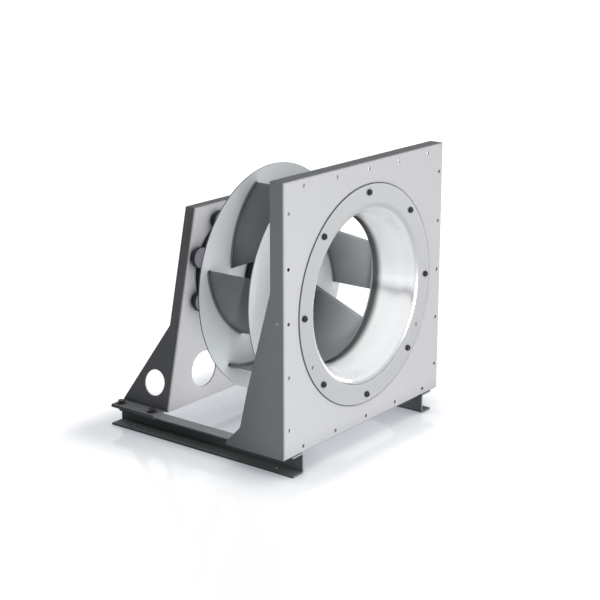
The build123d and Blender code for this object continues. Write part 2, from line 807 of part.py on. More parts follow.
def make_bearing_inner(y):
    pitch_r, inner_land, _ = bearing_sizes()
    mid = y + bearing_w / 2
    bore_r = shaft_r + press_gap
    profile = Pos((inner_land + bore_r) / 2, mid) * Rectangle(inner_land - bore_r, bearing_w)
    profile -= Pos(pitch_r, mid) * Circle(bearing_ball_r + bearing_groove_gap)
    return spin(profile)


def make_bearing_balls(y):
    pitch_r = bearing_sizes()[0]
    return group(Pos(x, y + bearing_w / 2, z) * Sphere(bearing_ball_r)
                 for x, z, _ in around(bearing_ball_count, pitch_r))


def motor_boss_places():
    return around(motor_boss_count, motor_boss_circle_r, 180.0 / motor_boss_count)


def make_motor_flange():
    """Casting that carries the stator on a bearing tube and bolts to the support at round bosses."""
    root_r = bearing_tube_r - tube_root
    flange = ring(root_r, motor_flange_r, motor_flange_y, support_y)
    flange += ring(root_r, spigot_r, support_y, support_y + spigot_h)
    for x, z, _ in motor_boss_places():
        boss = rod(motor_boss_r, support_y - motor_boss_h, support_y - motor_neck_h, x, z)
        flange += fillet(boss.edges().sort_by(Axis.Y)[0], motor_boss_round)
        flange += rod(motor_neck_r, support_y - motor_neck_h, support_y, x, z)
    flange -= ring(0, rotor_r + rotor_side_gap, support_y - motor_boss_h - 1, motor_flange_y)
    tube_front = front_bearing_y() - tube_rim
    flange += ring(bearing_outer_r, bearing_tube_r, tube_front, support_y + spigot_h)
    for shelf_y in (front_bearing_y() + bearing_w, rear_bearing_y() - spring_h - bearing_shelf_t):
        flange += ring(bearing_outer_r - bearing_shelf_h, bearing_outer_r + tube_root,
                       shelf_y + press_gap, shelf_y + bearing_shelf_t - press_gap)
    for x, z, _ in motor_boss_places():
        thread_start = support_y - motor_bolt_reach - thread_spare
        flange -= rod(m8[0] + thread_gap, thread_start, support_y + 1.0, x, z)
    for x, z, _ in housing_screw_places():
        depth = spigot_h + housing_screw_reach + thread_spare
        flange -= rod(m5[0] + thread_gap, housing_y - depth, housing_y + 1.0, x, z)
    return flange


def make_motor_bolts():
    """Bolts from behind the support into the casting's bosses."""
    bolt = Rot(90, 0, 0) * hex_bolt(m8, support_t + motor_bolt_reach, washer_t)
    return group(Pos(x, support_y + support_t, z) * bolt for x, z, _ in motor_boss_places())


def make_motor_washers():
    flat = Rot(90, 0, 0) * washer(m8)
    return group(Pos(x, support_y + support_t, z) * flat for x, z, _ in motor_boss_places())


def make_stator_core():
    """Laminated core: a yoke on the bearing tube, with teeth that end in wide pole shoes."""
    yoke_r = bearing_tube_r + press_gap + yoke_t
    section = Circle(yoke_r)
    shoe = Circle(stator_r) - Circle(stator_r - pole_shoe_t)
    for i in range(stator_teeth):
        turn = Rot(0, 0, i * 360.0 / stator_teeth)
        section += turn * Pos((stator_r + yoke_r) / 2 - 2, 0) * Rectangle(stator_r - yoke_r, tooth_w)
    for i in range(stator_teeth):
        turn = Rot(0, 0, (i + 0.5) * 360.0 / stator_teeth)
        shoe -= turn * Pos(stator_r, 0) * Rectangle(4 * pole_shoe_t, slot_opening)
    section = section + shoe - Circle(bearing_tube_r + press_gap)
    core = extrude(Plane.XZ * section, amount=-stator_length)
    return Pos(0, stator_y, axis_z) * core


def make_stator_windings():
    """One rounded coil on each tooth."""
    r0 = bearing_tube_r + yoke_t + winding_foot_gap
    r1 = stator_r - pole_shoe_t - winding_shoe_gap
    inner_w = tooth_w + 2 * winding_gap
    inner_l = stator_length + 2 * winding_gap
    coil = Box(inner_w + 2 * winding_t, inner_l + 2 * winding_t, r1 - r0)
    coil = fillet(coil.edges().filter_by(Axis.Z), winding_t)
    coil -= Box(inner_w, inner_l, 2 * r1)
    coil = Pos(0, stator_y + stator_length / 2, (r0 + r1) / 2) * coil
    step = 360.0 / stator_teeth
    return group(Pos(0, 0, axis_z) * Rot(0, 90 + i * step, 0) * coil for i in range(stator_teeth))


def make_electronics_housing():
    """Round finned housing behind the support, with a ledge for its cover and two cable entries."""
    body = ring(0, housing_r, housing_y, housing_end_y)
    rear = [e for e in body.edges() if abs(e.center().Y - housing_end_y) < 0.01]
    body = fillet(rear, housing_round)
    room = ring(0, housing_r - fin_slot_depth - housing_wall, housing_y - 1, housing_end_y - housing_wall)
    slot = Box(fin_slot_w, housing_h, 2 * fin_slot_depth)
    for x, z, a in around(fin_count, housing_r, 180.0 / fin_count):
        if abs(x) < gland_x + gland_pad_margin and z < axis_z:
            continue
        body -= Pos(x, housing_y + housing_h / 2 + fin_end_margin, z) * Rot(0, a, 0) * slot
    pad = Box(2 * (gland_x + gland_pad_margin), gland_pad_length, gland_pad_h)
    body += Pos(0, gland_y(), gland_top_z() + gland_pad_h / 2) * pad
    body -= room
    for x, z, _ in housing_screw_places():
        body += rod(housing_boss_r, housing_y, housing_end_y - housing_wall / 2, x, z)
        body -= rod(m5[0] + hole_clearance, housing_y - 1, housing_end_y + 1, x, z)
        body -= rod(m5[1] / 2 + head_room, housing_y + housing_screw_grip, housing_end_y + 1, x, z)
    for x in (-gland_x, gland_x):
        entry_low = axis_z - housing_r - gland_pad_h
        body -= post(gland_r + thread_gap, entry_low, axis_z - housing_r / 2, x, gland_y())
    opening = Box(cover_w - 2 * cover_rim, 4 * housing_wall, cover_h - 2 * cover_rim)
    body -= Pos(0, housing_end_y, axis_z) * opening
    for x, z in cover_screw_places():
        depth = cover_screw_reach + thread_spare
        body -= rod(m5[0] + thread_gap, housing_end_y - depth, housing_end_y + 1.0, x, z)
    return body


def housing_screw_places():
    return around(4, housing_boss_circle_r, 45)


def make_housing_screws():
    """Screws deep in the housing's corners, into the motor's casting."""
    length = housing_screw_grip + spigot_h + housing_screw_reach
    screw = Rot(90, 0, 0) * hex_bolt(m5, length)
    return group(Pos(x, housing_y + housing_screw_grip, z) * screw for x, z, _ in housing_screw_places())


def gland_y():
    return housing_end_y - gland_end_margin


def gland_top_z():
    return axis_z - housing_r - gland_pad_drop


def make_cable_glands():
    """Two glands that point down: threaded stub, hexagon, dome and cap, bored for a cable."""
    collar_h = 5.0
    cap_h = 9.0
    dome_h = 4.0
    stub = post(gland_r, 0, gland_pad_h / 2)
    collar = extrude(RegularPolygon(gland_r + 3.0, 6, major_radius=False), amount=-collar_h)
    cap = extrude(RegularPolygon(gland_r + 2.0, 12, major_radius=False), amount=-cap_h)
    cap = Pos(0, 0, -collar_h) * cap
    dome = Pos(0, 0, -collar_h - cap_h - dome_h / 2) * Cone(gland_bore_r + 2.0, gland_r + 1.0, dome_h)
    gland = stub + collar + cap + dome - Cylinder(gland_bore_r, 5 * gland_pad_h)
    return group(Pos(x, gland_y(), gland_top_z()) * gland for x in (-gland_x, gland_x))


def make_control_board():
    """Round circuit board on four feet, with three capacitors."""
    y = housing_y + board_lift
    board = ring(0, board_r, y, y + board_t)
    for x, z, _ in around(3, capacitor_circle_r, 60):
        board += rod(capacitor_r, y + board_t, y + capacitor_top, x, z)
    for x, z, _ in around(4, board_r - board_foot_margin):
        board += rod(board_foot_r, housing_y, y, x, z)
    return board


def make_terminal_block():
    """Row of screw terminals that stands on the board and looks out of the opening under the cover."""
    y0 = housing_y + board_lift + board_t
    y1 = housing_end_y - terminal_back_gap
    block = Pos(0, (y0 + y1) / 2, axis_z) * Box(terminal_w, y1 - y0, terminal_h)
    for i in range(terminal_count):
        x = (i - (terminal_count - 1) / 2) * terminal_pitch
        block -= rod(terminal_r, y1 - terminal_depth, y1 + 1.0, x, axis_z + terminal_rise)
        notch = Box(2 * terminal_r, terminal_depth, terminal_depth)
        block -= Pos(x, y1 - terminal_depth, axis_z - terminal_h / 2) * notch
    return block


def cover_screw_places():
    for sx in (-1, 1):
        for sz in (-1, 1):
            yield sx * (cover_w / 2 - cover_screw_inset), axis_z + sz * (cover_h / 2 - cover_screw_inset)


def cover_opening():
    return RectangleRounded(cover_w - 2 * cover_rim, cover_h - 2 * cover_rim, cover_corner_r / 2)


def make_cover_gasket():
    ring_face = RectangleRounded(cover_w, cover_h, cover_corner_r) - cover_opening()
    seal = Pos(0, housing_end_y, axis_z) * extrude(Plane.XZ * ring_face, amount=-gasket_t)
    for x, z in cover_screw_places():
        seal -= rod(m5[0] + hole_clearance, housing_end_y - 1, housing_end_y + 2 * gasket_t, x, z)
    return seal


def make_terminal_cover():
    y0 = housing_end_y + gasket_t
    lid = extrude(Plane.XZ * RectangleRounded(cover_w, cover_h, cover_corner_r), amount=-cover_t)
    lid = fillet(lid.faces().sort_by(Axis.Y)[-1].edges(), cover_round)
    room = extrude(Plane.XZ * cover_opening(), amount=-(cover_t - cover_top_t))
    lid = Pos(0, y0, axis_z) * (lid - room)
    for x, z in cover_screw_places():
        lid -= rod(m5[0] + hole_clearance, y0 - 1, y0 + cover_t + 1, x, z)
        lid -= rod(m5[1] / 2 + head_room, y0 + cover_t - cover_screw_sink, y0 + cover_t + 1, x, z)
    return lid


def make_cover_screws():
    grip = cover_t - cover_screw_sink + gasket_t
    y0 = housing_end_y + grip
    screw = Rot(90, 0, 0) * hex_bolt(m5, grip + cover_screw_reach)
    return group(Pos(x, y0, z) * screw for x, z in cover_screw_places())


# All pieces, moved so that the origin is under the fan's middle


def write(name, shape):
    moved = Pos(0, -fan_middle_y, 0) * shape
    export_step(moved, f"parts/{name}.step")


write("front_plate", make_front_plate())
write("front_foot_bolts", make_front_foot_bolts())
write("front_foot_washers", make_front_foot_washers())
write("front_foot_nuts", make_front_foot_nuts())
write("inlet_nozzle", make_inlet_nozzle())
write("nozzle_bolts", make_nozzle_bolts())
write("nozzle_nuts", make_nozzle_nuts())
write("pressure_taps", make_pressure_taps())
write("left_rail", make_rail(-1))
write("right_rail", make_rail(1))
write("rear_support", make_rear_support())
write("rear_foot_bolts", make_rear_foot_bolts())
write("rear_foot_washers", make_rear_foot_washers())
write("rear_foot_nuts", make_rear_foot_nuts())

write("shroud", make_shroud())
write("hub_disc", make_hub_disc())
passage_space = blade_passage()
for blade_number in range(blade_count):
    write(f"blade_{blade_number + 1}", make_blade(passage_space, blade_number))
write("impeller_screws", make_impeller_screws())
write("balance_weights", make_balance_weights())

write("rotor_can", make_rotor_can())
write("rotor_magnets", make_rotor_magnets())
write("shaft", make_shaft())
write("shaft_circlip", make_shaft_circlip())
write("motor_flange", make_motor_flange())
write("motor_bolts", make_motor_bolts())
write("motor_washers", make_motor_washers())
write("stator_core", make_stator_core())
write("stator_windings", make_stator_windings())
for bearing_name, bearing_y in (("front_bearing", front_bearing_y()), ("rear_bearing", rear_bearing_y())):
    write(f"{bearing_name}_outer", make_bearing_outer(bearing_y))
    write(f"{bearing_name}_inner", make_bearing_inner(bearing_y))
    write(f"{bearing_name}_balls", make_bearing_balls(bearing_y))
write("bearing_spring", make_bearing_spring())
write("electronics_housing", make_electronics_housing())
write("housing_screws", make_housing_screws())
write("cable_glands", make_cable_glands())
write("control_board", make_control_board())
write("terminal_block", make_terminal_block())
write("cover_gasket", make_cover_gasket())
write("terminal_cover", make_terminal_cover())
write("cover_screws", make_cover_screws())
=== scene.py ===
import json
from math import acos, atan2, cos, pi, radians, sin

import bpy
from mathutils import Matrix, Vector


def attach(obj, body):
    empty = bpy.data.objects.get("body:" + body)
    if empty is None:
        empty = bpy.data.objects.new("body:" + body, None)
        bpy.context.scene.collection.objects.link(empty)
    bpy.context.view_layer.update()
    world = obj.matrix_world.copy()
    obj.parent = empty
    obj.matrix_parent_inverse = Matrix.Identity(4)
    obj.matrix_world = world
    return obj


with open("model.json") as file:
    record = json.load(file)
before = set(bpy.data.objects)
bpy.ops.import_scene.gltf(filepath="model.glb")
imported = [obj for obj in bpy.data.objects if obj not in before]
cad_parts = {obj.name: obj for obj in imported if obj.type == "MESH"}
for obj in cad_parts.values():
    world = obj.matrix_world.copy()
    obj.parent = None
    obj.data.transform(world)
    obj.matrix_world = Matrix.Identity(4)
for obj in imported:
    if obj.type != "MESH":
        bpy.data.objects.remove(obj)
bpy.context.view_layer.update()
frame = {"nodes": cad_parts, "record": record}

# Plug fan. Metres. The fan's axis runs along Y at AXIS_Z, the panel's face looks along -Y.
nodes = frame["nodes"]

AXIS_Z = 0.365
PANEL_FACE_Y = -0.27885
DISC_FACE_Y = -0.00355
BOSS_FRONT_Y = 0.11615
LIP_Y = -0.16885
HALF_WIDTH = 0.315
HALF_LENGTH = 0.282


# Camera: the photograph's viewing angle

def aim(towards):
    """The turn that points a camera or a lamp along a direction."""
    return Vector(towards).to_track_quat("-Z", "Y").to_euler()


CAMERA_PLACE = (-2.7272, -2.17055, 1.3017)
CAMERA_LOOK = (0.7630, 0.5846, -0.2751)
bpy.ops.object.camera_add(location=CAMERA_PLACE, rotation=aim(CAMERA_LOOK))
camera = bpy.context.object
camera.data.sensor_width = 36.0
camera.data.lens = 88.78
camera.data.clip_end = 200.0
bpy.context.scene.camera = camera
bpy.context.scene.view_settings.view_transform = "Standard"


# Node building blocks. Each takes numbers, colours or other nodes' outputs.

def put(tree, item, socket):
    if isinstance(item, (int, float, tuple)):
        socket.default_value = item
    else:
        tree.links.new(item, socket)


def calc(tree, operation, a, b=0.0):
    node = tree.nodes.new("ShaderNodeMath")
    node.operation = operation
    put(tree, a, node.inputs[0])
    put(tree, b, node.inputs[1])
    return node.outputs[0]


def plus(tree, a, b):
    return calc(tree, "ADD", a, b)


def minus(tree, a, b):
    return calc(tree, "SUBTRACT", a, b)


def times(tree, a, b):
    return calc(tree, "MULTIPLY", a, b)


def larger(tree, a, b):
    return calc(tree, "MAXIMUM", a, b)


def hypotenuse(tree, a, b):
    return calc(tree, "SQRT", plus(tree, times(tree, a, a), times(tree, b, b)))


def spread(tree, value, low, high, new_low, new_high, soft=False):
    """Moves a value from one range to another."""
    node = tree.nodes.new("ShaderNodeMapRange")
    node.interpolation_type = "SMOOTHSTEP" if soft else "LINEAR"
    keys = ("Value", "From Min", "From Max", "To Min", "To Max")
    for key, item in zip(keys, (value, low, high, new_low, new_high)):
        put(tree, item, node.inputs[key])
    return node.outputs["Result"]


def noise(tree, vector, scale, detail, roughness):
    node = tree.nodes.new("ShaderNodeTexNoise")
    values = {"Vector": vector, "Scale": scale, "Detail": detail, "Roughness": roughness}
    for key, item in values.items():
        put(tree, item, node.inputs[key])
    return node.outputs["Fac"]


def blend_colour(tree, factor, a, b, kind="MIX"):
    node = tree.nodes.new("ShaderNodeMix")
    node.data_type = "RGBA"
    node.blend_type = kind
    put(tree, factor, node.inputs["Factor"])
    put(tree, a, node.inputs["A"])
    put(tree, b, node.inputs["B"])
    return node.outputs["Result"]


def place_of(tree):
    return tree.nodes.new("ShaderNodeTexCoord").outputs["Object"]


def facing_of(tree):
    return tree.nodes.new("ShaderNodeNewGeometry").outputs["Normal"]


def axes(tree, vector):
    """The X, Y and Z of a vector as three values."""
    node = tree.nodes.new("ShaderNodeSeparateXYZ")
    tree.links.new(vector, node.inputs[0])
    return node.outputs["X"], node.outputs["Y"], node.outputs["Z"]


def vector_of(tree, x, y, z):
    node = tree.nodes.new("ShaderNodeCombineXYZ")
    for key, item in zip("XYZ", (x, y, z)):
        put(tree, item, node.inputs[key])
    return node.outputs[0]


def vector_calc(tree, operation, a, b=(0.0, 0.0, 0.0)):
    node = tree.nodes.new("ShaderNodeVectorMath")
    node.operation = operation
    put(tree, a, node.inputs[0])
    put(tree, b, node.inputs[1])
    return node


# Finishes

CREASE_REACH = 0.010
# Painted shade: ambient occlusion blends base colours towards this near-black in hollows and
# creases.
PAINTED_SHADE_COLOUR = (0.004, 0.006, 0.006, 1.0)
# Dust and painted top light: faces that look up are blended towards this pale grey.
DUST_AND_TOP_LIGHT_COLOUR = (0.86, 0.87, 0.88, 1.0)
BUMP_DISTANCE = 0.001


def new_group(name, inputs):
    """An empty shader node group with named inputs and the three outputs that each finish has."""
    tree = bpy.data.node_groups.new(name, "ShaderNodeTree")
    for label, value in inputs.items():
        kind = "NodeSocketColor" if isinstance(value, tuple) else "NodeSocketFloat"
        socket = tree.interface.new_socket(label, in_out="INPUT", socket_type=kind)
        socket.default_value = value
    tree.interface.new_socket("Colour", in_out="OUTPUT", socket_type="NodeSocketColor")
    for label in ("Roughness", "Height"):
        tree.interface.new_socket(label, in_out="OUTPUT", socket_type="NodeSocketFloat")
    return tree, tree.nodes.new("NodeGroupInput"), tree.nodes.new("NodeGroupOutput")


def occlusion_shade(tree, reach, depth, shallow, full):
    """A shade factor from ambient occlusion, lower in corners and narrow gaps, for painted shade.
    """
    openness = tree.nodes.new("ShaderNodeAmbientOcclusion")
    openness.samples = 8
    put(tree, reach, openness.inputs["Distance"])
    closed = minus(tree, 1.0, openness.outputs["AO"])
    return minus(tree, 1.0, times(tree, spread(tree, closed, shallow, full, 0.0, 1.0), depth))


def with_painted_shade(tree, group, colour):
    """The colour with painted shade: darker in the hollows within Reach and in the creases within
    CREASE_REACH.
    """
    painted_hollow_shade = occlusion_shade(tree, group.outputs["Reach"], group.outputs["Depth"], 0.04, 0.75)
    painted_crease_shade = occlusion_shade(tree, CREASE_REACH, group.outputs["Crease Shade"], 0.08, 0.5)
    return blend_colour(tree, times(tree, painted_hollow_shade, painted_crease_shade), PAINTED_SHADE_COLOUR, colour)


def toned(tree, colour, level):
    """The colour times a grey level near 1."""
    grey = tree.nodes.new("ShaderNodeCombineColor")
    for key in ("Red", "Green", "Blue"):
        tree.links.new(level, grey.inputs[key])
    return blend_colour(tree, 1.0, colour, grey.outputs["Color"], "MULTIPLY")


def build_coat():
    """Powder coat: cloudy tone, fine orange peel, and dust with painted top light on faces that
    look up.
    """
    tree, start, end = new_group("powder_coat", {
        "Colour": (0.6, 0.6, 0.6, 1.0), "Cloud": 0.06, "Peel Scale": 900.0, "Roughness": 0.5,
        "Dust And Top Light": 0.0, "Reach": 0.09, "Depth": 0.8, "Crease Shade": 0.5})
    place = place_of(tree)
    cloud = noise(tree, place, scale=7.0, detail=5.0, roughness=0.6)
    speck = noise(tree, place, scale=260.0, detail=2.0, roughness=0.5)
    shade = times(tree, minus(tree, cloud, 0.5), start.outputs["Cloud"])
    grain = times(tree, minus(tree, speck, 0.5), 0.05)
    level = plus(tree, plus(tree, shade, grain), 1.0)
    colour = toned(tree, start.outputs["Colour"], level)
    # Dust and painted top light: faces that look up turn paler, in patches.
    upward = spread(tree, axes(tree, facing_of(tree))[2], 0.5, 0.95, 0.0, 1.0)
    blots = noise(tree, place, scale=26.0, detail=6.0, roughness=0.65)
    patches = spread(tree, blots, 0.25, 0.6, 0.75, 1.0)
    dust_and_top_light = times(tree, times(tree, upward, patches), start.outputs["Dust And Top Light"])
    # Painted shade from ambient occlusion darkens hollows and creases.
    colour = with_painted_shade(tree, start, blend_colour(tree, dust_and_top_light, colour, DUST_AND_TOP_LIGHT_COLOUR))
    rough = plus(tree, start.outputs["Roughness"], spread(tree, cloud, 0.3, 0.7, -0.05, 0.05))
    rough = plus(tree, rough, times(tree, dust_and_top_light, 0.3))
    peel = noise(tree, place, scale=start.outputs["Peel Scale"], detail=2.0, roughness=0.5)
    for key, item in (("Colour", colour), ("Roughness", rough), ("Height", peel)):
        tree.links.new(item, end.inputs[key])
    return tree


def build_spun():
    """Fine rings left by spinning, round the fan's axis, with painted shade in hollows and creases.
    """
    tree, start, end = new_group("spun_rings", {
        "Colour": (0.7, 0.7, 0.7, 1.0), "Ring Scale": 900.0, "Roughness": 0.3, "Contrast": 0.08,
        "Reach": 0.09, "Depth": 0.8, "Crease Shade": 0.5})
    place = place_of(tree)
    x, y, z = axes(tree, place)
    radius = hypotenuse(tree, x, minus(tree, z, AXIS_Z))
    along = vector_of(tree, plus(tree, radius, y), times(tree, minus(tree, radius, y), 0.5), 0.0)
    rings = noise(tree, along, scale=start.outputs["Ring Scale"], detail=3.0, roughness=0.6)
    cloud = noise(tree, place, scale=9.0, detail=4.0, roughness=0.55)
    mark = times(tree, minus(tree, plus(tree, rings, cloud), 1.0), start.outputs["Contrast"])
    colour = toned(tree, start.outputs["Colour"], plus(tree, mark, 1.0))
    rough = plus(tree, start.outputs["Roughness"], spread(tree, rings, 0.3, 0.7, -0.05, 0.05))
    outputs = (("Colour", with_painted_shade(tree, start, colour)), ("Roughness", rough), ("Height", rings))
    for key, item in outputs:
        tree.links.new(item, end.inputs[key])
    return tree


COAT = build_coat()
SPUN = build_spun()


def finish_material(name, group, values, metallic=0.0, bump=0.02, gloss=0.5):
    """A Principled material whose colour, roughness and bump come from one of the groups."""
    material = bpy.data.materials.new(name)
    material.use_nodes = True
    tree = material.node_tree
    shader = tree.nodes["Principled BSDF"]
    effect = tree.nodes.new("ShaderNodeGroup")
    effect.node_tree = group
    for key, value in values.items():
        effect.inputs[key].default_value = value
    relief = tree.nodes.new("ShaderNodeBump")
    relief.inputs["Strength"].default_value = bump
    relief.inputs["Distance"].default_value = BUMP_DISTANCE
    tree.links.new(effect.outputs["Colour"], shader.inputs["Base Color"])
    tree.links.new(effect.outputs["Roughness"], shader.inputs["Roughness"])
    tree.links.new(effect.outputs["Height"], relief.inputs["Height"])
    tree.links.new(relief.outputs["Normal"], shader.inputs["Normal"])
    shader.inputs["Metallic"].default_value = metallic
    shader.inputs["Specular IOR Level"].default_value = gloss
    return material


# depth and crease set how deep the painted shade in hollows and creases is.
def coat(name, colour, roughness, cloud, peel=900.0, dust_and_top_light=0.0, reach=0.09, depth=0.8,
         crease_shade=0.5, **rest):
    return finish_material(name, COAT, {
        "Colour": (*colour, 1.0), "Roughness": roughness, "Cloud": cloud, "Peel Scale": peel,
        "Dust And Top Light": dust_and_top_light, "Reach": reach, "Depth": depth, "Crease Shade": crease_shade}, **rest)


def spun(name, colour, roughness, rings, contrast, reach=0.09, depth=0.8, crease_shade=0.5, **rest):
    return finish_material(name, SPUN, {
        "Colour": (*colour, 1.0), "Roughness": roughness, "Ring Scale": rings,
        "Contrast": contrast, "Reach": reach, "Depth": depth, "Crease Shade": crease_shade}, **rest)


LOOKS = {
    "panel_sheet": coat("panel_coat", (0.71, 0.705, 0.72), roughness=0.55, cloud=0.04,
                        gloss=0.02, bump=0.05),
    "rail_sheet": coat("rail_coat", (0.50, 0.52, 0.53), roughness=0.5, cloud=0.10, dust_and_top_light=0.8,
                       depth=0.7, gloss=0.10, bump=0.08),
    "nozzle_sheet": spun("nozzle_metal", (0.85, 0.856, 0.866), roughness=0.20, rings=500.0,
                         contrast=0.02, depth=0.15, crease_shade=0.9, gloss=0.3, bump=0.005),
    "wheel_sheet": spun("wheel_coat", (0.62, 0.645, 0.655), roughness=0.5, rings=500.0,
                        contrast=0.04, reach=0.12, depth=0.82, crease_shade=0.85, gloss=0.02,
                        bump=0.05),
    "motor_casting": coat("casting_black", (0.035, 0.037, 0.042), roughness=0.55, cloud=0.2,
                          peel=500.0, gloss=0.3, bump=0.3),
    "rotor_steel": spun("rotor_black", (0.03, 0.03, 0.035), roughness=0.4, rings=600.0,
                        contrast=0.15, gloss=0.3, bump=0.08),
    "black_fasteners": coat("bolt_black", (0.02, 0.022, 0.025), roughness=0.4, cloud=0.2,
                            peel=1500.0, gloss=0.35, bump=0.05),
    "zinc_fasteners": coat("bolt_zinc", (0.62, 0.63, 0.62), roughness=0.35, cloud=0.15,
                           peel=1500.0, metallic=1.0, bump=0.05),
    "bearing_steel": spun("ground_steel", (0.68, 0.69, 0.70), roughness=0.2, rings=1500.0,
                          contrast=0.05, metallic=1.0, bump=0.03),
    "lamination": coat("stacked_sheet", (0.36, 0.37, 0.39), roughness=0.45, cloud=0.15,
                       metallic=1.0, bump=0.1),
    "winding": coat("copper_wire", (0.62, 0.27, 0.12), roughness=0.35, cloud=0.2,
                    metallic=1.0, bump=0.2),
    "magnet": coat("magnet_dark", (0.12, 0.12, 0.13), roughness=0.5, cloud=0.1,
                   metallic=0.6, bump=0.05),
    "board": coat("board_green", (0.03, 0.16, 0.07), roughness=0.4, cloud=0.1, bump=0.05),
    "black_plastic": coat("plastic_black", (0.03, 0.03, 0.032), roughness=0.5, cloud=0.1,
                          peel=1800.0, bump=0.1),
    "seal": coat("seal_black", (0.02, 0.02, 0.02), roughness=0.8, cloud=0.1, bump=0.1),
}


def opened(material):
    """A material's node tree, its shader, and the place on the object as X, Y and Z."""
    tree = material.node_tree
    return tree, tree.nodes["Principled BSDF"], axes(tree, place_of(tree))


def recolour(tree, shader, share, colour):
    """Blends a colour over what feeds the shader's base colour so far."""
    socket = shader.inputs["Base Color"]
    so_far = socket.links[0].from_socket
    tree.links.new(blend_colour(tree, share, so_far, colour), socket)


def paint_boss_sheen(material):
    """Painted reflection: the bosses' flat fronts are tinted purple-grey over the casting's rough
    black skin.
    """
    tree, shader, (_, y, _) = opened(material)
    apart = calc(tree, "ABSOLUTE", minus(tree, y, BOSS_FRONT_Y))
    boss_sheen = spread(tree, apart, 0.0003, 0.0012, 1.0, 0.0)
    recolour(tree, shader, boss_sheen, (0.20, 0.19, 0.23, 1.0))


def paint_support_shade(material):
    """Painted shade: the coat darkens from Y 0 to 0.05, so the rear support is deeper than the
    front panel.
    """
    tree, shader, (_, y, _) = opened(material)
    painted_support_shade = spread(tree, y, 0.0, 0.05, 0.0, 0.17)
    recolour(tree, shader, painted_support_shade, (0.05, 0.055, 0.06, 1.0))


def shade_throat(material):
    """Painted shade: the flat ring is tinted darker than the bell-mouth, the lip dark as in the
    duct's shade.
    """
    tree, shader, (_, y, _) = opened(material)
    painted_ring_shade = spread(tree, y, PANEL_FACE_Y, PANEL_FACE_Y + 0.006, 0.45, 0.0, soft=True)
    recolour(tree, shader, painted_ring_shade, (0.30, 0.31, 0.32, 1.0))
    painted_lip_shade = spread(tree, y, LIP_Y - 0.032, LIP_Y - 0.010, 0.0, 0.92, soft=True)
    recolour(tree, shader, painted_lip_shade, (0.02, 0.024, 0.025, 1.0))
    polish = spread(tree, y, PANEL_FACE_Y + 0.010, LIP_Y - 0.030, 0.75, 0.65)
    tree.links.new(polish, shader.inputs["Metallic"])


def flatten_shine(material):
    """The inside of the bell-mouth shines as a flatter cone does and mirrors the room in front."""
    tree, shader, (x, y, z) = opened(material)
    facing = facing_of(tree)
    outward = vector_of(tree, x, 0.0, minus(tree, z, AXIS_Z))
    away = vector_calc(tree, "DOT_PRODUCT", facing, outward).outputs["Value"]
    inside = spread(tree, away, -0.03, -0.01, 1.0, 0.0)
    depth = spread(tree, y, PANEL_FACE_Y + 0.008, PANEL_FACE_Y + 0.045, 0.0, -0.6, soft=True)
    forward = vector_of(tree, 0.0, times(tree, inside, depth), 0.0)
    bent = vector_calc(tree, "ADD", facing, forward).outputs["Vector"]
    relief = shader.inputs["Normal"].links[0].from_node
    tree.links.new(vector_calc(tree, "NORMALIZE", bent).outputs["Vector"], relief.inputs["Normal"])


paint_boss_sheen(LOOKS["motor_casting"])
paint_support_shade(LOOKS["panel_sheet"])
shade_throat(LOOKS["nozzle_sheet"])
flatten_shine(LOOKS["nozzle_sheet"])

for part in frame["record"]["subparts"]:
    slots = nodes[part["node"]].data.materials
    slots.clear()
    slots.append(LOOKS[part["material_slot"]])


# Pieces modelled here

BEAD_SIDES = 10
MERGE_DISTANCE = 0.00005
SMOOTH_ANGLE = radians(50)


def select_only(pieces):
    """Selects these pieces and nothing else, and makes the first one active."""
    bpy.ops.object.select_all(action="DESELECT")
    for piece in pieces:
        piece.select_set(True)
    bpy.context.view_layer.objects.active = pieces[0]


def smooth_over(piece):
    select_only([piece])
    bpy.ops.object.shade_smooth_by_angle(angle=SMOOTH_ANGLE)


def spin_bead(name, start, turn, thick, centre, angle, steps):
    """A round bead spun about an axis along Y; turn sets the profile's plane."""
    bpy.ops.object.select_all(action="DESELECT")
    bpy.ops.mesh.primitive_circle_add(vertices=BEAD_SIDES, radius=thick, location=start,
                                      rotation=(0, -turn, 0))
    bead = bpy.context.object
    bead.name = name
    bpy.ops.object.transform_apply(location=True, rotation=True, scale=True)
    bpy.ops.object.mode_set(mode="EDIT")
    bpy.ops.mesh.select_all(action="SELECT")
    bpy.ops.mesh.spin(steps=steps, angle=angle, center=centre, axis=(0, 1, 0))
    bpy.ops.mesh.select_all(action="SELECT")
    bpy.ops.mesh.remove_doubles(threshold=MERGE_DISTANCE)
    bpy.ops.mesh.fill_holes(sides=0)
    bpy.ops.mesh.normals_make_consistent(inside=False)
    bpy.ops.object.mode_set(mode="OBJECT")
    return bead


# Painted shade: a thin dark bead round the edge of the nozzle's flat ring stands in for its shade
# line.
SHADE_BEAD_R = 0.2630
SHADE_BEAD_T = 0.0011
SHADE_BEAD_Y = PANEL_FACE_Y - 0.0006
SHADE_BEAD_STEPS = 180
edge_shade_bead = spin_bead("nozzle_edge_shade_bead", (SHADE_BEAD_R, SHADE_BEAD_Y, AXIS_Z), 0.0, SHADE_BEAD_T,
                      (0, 0, AXIS_Z), 2 * pi, SHADE_BEAD_STEPS)
smooth_over(edge_shade_bead)
edge_shade_bead.data.materials.append(coat("edge_shade_bead_dark", (0.13, 0.138, 0.14), roughness=0.6,
                                     cloud=0.3, peel=300.0, gloss=0.3, bump=0.4))
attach(edge_shade_bead, "frame")

